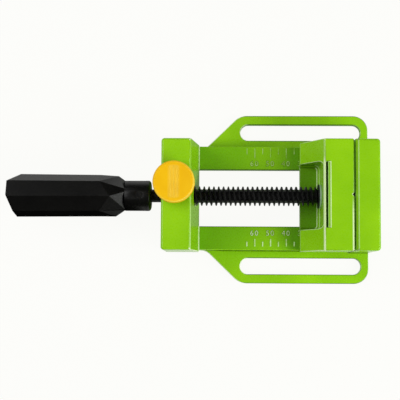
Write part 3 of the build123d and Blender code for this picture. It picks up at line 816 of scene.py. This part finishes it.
def neck_end_surface():
    """The neck's end: a straight skirt over the moulding, a quarter of an ellipse from the skirt to
    the flat end, and a bore that clears the shank, all carried round the screw's axis."""
    bend = np.linspace(0, np.pi / 2, ROUND_STEPS)
    end_x, end_r = NECK_END
    round_x = NECK_ROUND_X + (end_x - NECK_ROUND_X) * np.sin(bend)
    round_r = end_r + (NECK_R - end_r) * np.cos(bend)
    outside = [(NECK_SKIRT_X, NECK_BORE_R), (NECK_SKIRT_X, NECK_R), *zip(round_x, round_r)]
    return turned_solid([*outside, (end_x, NECK_BORE_R), (NECK_SKIRT_X, NECK_BORE_R)])


black_plastic = moulded_black(surface_grain)
round_edges(finish_node("handle", black_plastic), HANDLE_EDGE)
round_edges(finish_node("handle_pin", oxide_steel), PIN_EDGE)
neck_end = mesh_piece("neck_end", *neck_end_surface(), black_plastic)
close_mesh(neck_end, smooth_deg=40)
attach(neck_end, "screw")


# Release button
# Golden-yellow plastic pressed on the plunger's stem. Its top is dished and has fine ribs
# across the middle for the thumb. The ribs' crests and the lip have painted highlight.

BUTTON_X = -0.0792
BUTTON_Y = 0.0063
BUTTON_R = 0.0126
BUTTON_LOW_Z = 0.0499
BUTTON_TOP_Z = 0.0582
BUTTON_ROUND = 0.0012
BUTTON_DISH = 0.0005
DISH_MARGIN = 0.0008
SKIRT_DRAFT = 0.0001
SKIRT_CHAMFER = (0.0004, 0.0003)
STEM_R = 0.0045
SOCKET_DEPTH = 0.005
# The ribs swing up and down from the dish. Their band has a half width, and a margin inside the
# rim, each with the distance over which the ribs fade.
RIB_PITCH = 0.00085
RIB_SWING = 0.00010
RIB_BAND = (0.0036, 0.0006)
RIB_MARGIN = (0.0012, 0.0008)
# How much painted highlight: on the ribs' crests, and on the lip, with an even share and one that
# turns with the angle from its brightest side.
PAINTED_HIGHLIGHT_CREST = 0.75
PAINTED_HIGHLIGHT_LIP = 0.9
PAINTED_HIGHLIGHT_ROUND = (0.55, 0.45)
PAINTED_HIGHLIGHT_SIDE = -0.8
LIP_INSET = 0.0005
LIP_SPREAD = 0.0004
BUTTON_RINGS = 110
BUTTON_AROUND = 320
MOULDED_YELLOW = ((0.94, 0.515, 0.001), (0.99, 0.57, 0.003))
PAINTED_HIGHLIGHT_YELLOW = (0.96, 0.74, 0.09)
BUTTON_ROUGHNESS = (0.38, 0.50)
BUTTON_BUMP = (0.10, 0.0001)


def button_surface():
    """A disc on polar rings. Its top falls by dish * (1 - (r / (rim - margin))^2), plus ribs that
    are a cosine of x inside a band. A quarter round leads to the skirt, a small chamfer to the flat
    underside, and a socket takes the stem. The last value is painted highlight: on the ribs'
    crests, as ((1 + cosine) / 2)^2, and on the lip, as a bell curve of r, most on the near side."""
    rim = BUTTON_R - BUTTON_ROUND
    radius_top = np.linspace(0, rim, BUTTON_RINGS)
    dish = BUTTON_TOP_Z - BUTTON_DISH * np.clip(1 - (radius_top / (rim - DISH_MARGIN)) ** 2, 0, 1)
    bend = np.linspace(0, np.pi / 2, ROUND_STEPS)[1:]
    edge_r = rim + BUTTON_ROUND * np.sin(bend)
    edge_z = BUTTON_TOP_Z - BUTTON_ROUND * (1 - np.cos(bend))
    chamfer_r, chamfer_z = SKIRT_CHAMFER
    socket_z = BUTTON_LOW_Z + SOCKET_DEPTH
    skirt_r = np.array([BUTTON_R - SKIRT_DRAFT, BUTTON_R - chamfer_r, STEM_R, STEM_R, 0.0])
    skirt_z = np.array([BUTTON_LOW_Z + chamfer_z, BUTTON_LOW_Z, BUTTON_LOW_Z, socket_z, socket_z])
    radius = np.concatenate([radius_top, edge_r, skirt_r])[:, None]
    height = np.concatenate([dish, edge_z, skirt_z])[:, None]
    turn = np.arange(BUTTON_AROUND) * 2 * np.pi / BUTTON_AROUND
    x = radius * np.cos(turn)
    y = radius * np.sin(turn)
    band_half, band_fade = RIB_BAND
    margin, margin_fade = RIB_MARGIN
    ribbed = np.clip((band_half - np.abs(x)) / band_fade, 0, 1)
    ribbed = ribbed * np.clip((rim - margin - radius) / margin_fade, 0, 1)
    ribbed[BUTTON_RINGS:] = 0
    wave = np.cos(2 * np.pi * x / RIB_PITCH)
    z = height + RIB_SWING * wave * ribbed
    # Painted highlight on the ribs' crests and on the lip, most on the near side.
    crest = ((1 + wave) / 2) ** 2 * ribbed
    lip = np.exp(-((radius - BUTTON_R + LIP_INSET) / LIP_SPREAD) ** 2) * (height > socket_z)
    even, uneven = PAINTED_HIGHLIGHT_ROUND
    near = np.clip(even + uneven * np.cos(turn - PAINTED_HIGHLIGHT_SIDE), 0, 1)
    painted_highlight = np.clip(PAINTED_HIGHLIGHT_CREST * crest + PAINTED_HIGHLIGHT_LIP * lip * near, 0, 1)
    points = np.stack([BUTTON_X + x, BUTTON_Y + y, z], axis=-1)
    return points.reshape(-1, 3), closed_grid(len(radius), BUTTON_AROUND), painted_highlight.ravel()


def moulded_yellow(grain):
    """Golden-yellow plastic, a little cloudy, and paler where the mesh carries painted highlight."""
    material, tree, shader, marks = new_finish(
        "moulded_yellow", grain, metallic=0.0, specular=0.15, Cloud_scale=90.0, Grain_scale=1300.0)
    colour = clouded(tree, marks, MOULDED_CLOUD, *MOULDED_YELLOW)
    # Painted highlight, read from the mesh's attribute.
    painted_highlight = tree.nodes.new("ShaderNodeAttribute")
    painted_highlight.attribute_name = "painted_highlight"
    colour = blend_colours(tree, painted_highlight.outputs["Fac"], colour, PAINTED_HIGHLIGHT_YELLOW)
    tree.links.new(colour, shader.inputs["Base Color"])
    grained(tree, shader, marks, BUTTON_ROUGHNESS, BUTTON_BUMP)
    return material


yellow_plastic = moulded_yellow(surface_grain)
button_points, button_faces, button_painted_highlight = button_surface()
button = mesh_piece("ribbed_button", button_points, button_faces, yellow_plastic)
button.data.attributes.new("painted_highlight", "FLOAT", "POINT").data.foreach_set("value", button_painted_highlight)
close_mesh(button, smooth_deg=40)
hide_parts("release_button")
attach(button, "button")


# Release plunger and its spring
# Turned steel plunger whose side notch is the half nut, lifted by a coil spring that sits
# on the spring cover.

PLUNGER_EDGE = 0.0001
SPRING_R = 0.0046
SPRING_WIRE_R = 0.0005
SPRING_TURNS = 4.5
SPRING_LOW_Z = 0.00512
SPRING_HIGH_Z = 0.01648
SPRING_STEPS = 180
WIRE_AROUND = 10
TURNED_STEEL = ((0.40, 0.40, 0.41), (0.58, 0.58, 0.59))
TURNED_ROUGHNESS = (0.26, 0.38)
BARE_CLOUD = (0.3, 0.7)
BARE_BUMP = (0.12, 0.0001)


def bright_steel(name, grain, colours, roughness, stretch):
    """Bare or zinc-plated steel with a faint cloud and fine lines."""
    material, tree, shader, marks = new_finish(
        name, grain, metallic=1.0, specular=0.5,
        Cloud_scale=220.0, Grain_scale=1600.0, Stretch_X=stretch)
    tree.links.new(clouded(tree, marks, BARE_CLOUD, *colours), shader.inputs["Base Color"])
    grained(tree, shader, marks, roughness, BARE_BUMP)
    return material


def coil_surface():
    """A round wire along a helix: the centre turns at the spring's radius while it rises evenly,
    and each ring is the wire's radius times cosine outwards and sine upwards."""
    along = np.linspace(0, 1, SPRING_STEPS)[:, None]
    turn = 2 * np.pi * SPRING_TURNS * along
    rise = SPRING_LOW_Z + (SPRING_HIGH_Z - SPRING_LOW_Z) * along
    wire = np.arange(WIRE_AROUND) * 2 * np.pi / WIRE_AROUND
    out_r = SPRING_R + SPRING_WIRE_R * np.cos(wire)
    x = BUTTON_X + out_r * np.cos(turn)
    y = BUTTON_Y + out_r * np.sin(turn)
    z = rise + SPRING_WIRE_R * np.sin(wire)
    first = range(WIRE_AROUND)
    last = range((SPRING_STEPS - 1) * WIRE_AROUND, SPRING_STEPS * WIRE_AROUND)
    faces = closed_grid(SPRING_STEPS, WIRE_AROUND).tolist() + [list(first)[::-1], list(last)]
    return np.stack([x, y, z], axis=-1).reshape(-1, 3), faces


turned_steel = bright_steel("turned_steel", surface_grain, TURNED_STEEL, TURNED_ROUGHNESS, stretch=1.0)
round_edges(finish_node("release_plunger", turned_steel), PLUNGER_EDGE, segments=2, clamped=False)
spring = mesh_piece("coil_spring", *coil_surface(), turned_steel)
close_mesh(spring, smooth_deg=60)
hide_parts("plunger_spring")
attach(spring, "base")
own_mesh(spring)


# Keeper plate, spring cover and their screws
# Zinc-plated steel under the vise: the keeper holds the moving jaw down, the cover holds
# the spring in, and each is held by two slotted screws with washers.

COVER_EDGE = 0.0003
SCREW_EDGE = 0.00015
ZINC_PLATE = ((0.50, 0.52, 0.56), (0.66, 0.67, 0.70))
ZINC_ROUGHNESS = (0.30, 0.42)

zinc_plate = bright_steel("zinc_plate", surface_grain, ZINC_PLATE, ZINC_ROUGHNESS, stretch=0.2)
for name in ("keeper_plate", "spring_cover"):
    round_edges(finish_node(name, zinc_plate), COVER_EDGE)
for name in ("keeper_screw_rear", "keeper_screw_front", "cover_screw_right", "cover_screw_left",
             "keeper_washer_rear", "keeper_washer_front", "cover_washer_right", "cover_washer_left"):
    round_edges(finish_node(name, zinc_plate), SCREW_EDGE, segments=2)
